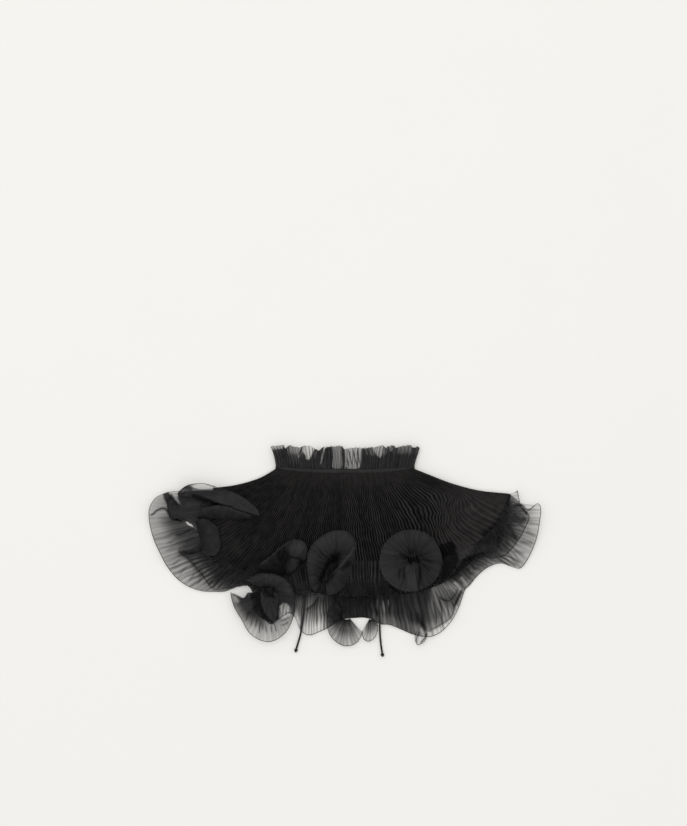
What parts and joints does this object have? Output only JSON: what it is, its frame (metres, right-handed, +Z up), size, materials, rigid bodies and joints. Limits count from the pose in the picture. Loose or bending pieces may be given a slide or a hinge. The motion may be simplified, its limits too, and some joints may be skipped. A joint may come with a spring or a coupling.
{
  "type": "pleated chiffon collar",
  "caption": "Flat-lying sheer black capelet collar with a pleated neck frill, a neckband, a pleated body, a curled hem flounce and two thin ties.",
  "frame": {"origin": "middle of the collar's outline on the surface it lies on, the ties left out", "axes": "+X to the right of the collar as it lies front up, +Y towards the neck frill, +Z up from the surface"},
  "size_m": [0.4708, 0.2552, 0.0233],
  "materials": {
    "pleated": "fine plisse chiffon, near black where the layers lie on each other",
    "sheer": "sheer single chiffon with pressed creases and a narrow rolled hem",
    "band": "folded chiffon band with a faint sheen",
    "cord": "twisted matt cord"
  },
  "bodies": {
    "root": {"neck_frill": "sheer", "neckband": "band", "body_front": "pleated", "body_back_left": "pleated", "body_back_right": "pleated", "flounce_front": "sheer", "flounce_back_left": "sheer", "flounce_back_right": "sheer", "fold_leaf": "sheer", "fold_lower_leaf": "sheer", "fold_crescent": "sheer", "flute_ruffle": "sheer", "flute_lily": "sheer", "flute_slot": "sheer", "flute_round": "sheer", "flute_left_lobe": "sheer", "flute_right_lobe": "sheer", "flute_tail": "sheer", "tie_left": "cord", "tie_right": "cord", "knot_left": "cord", "knot_right": "cord"}
  },
  "joints": []
}
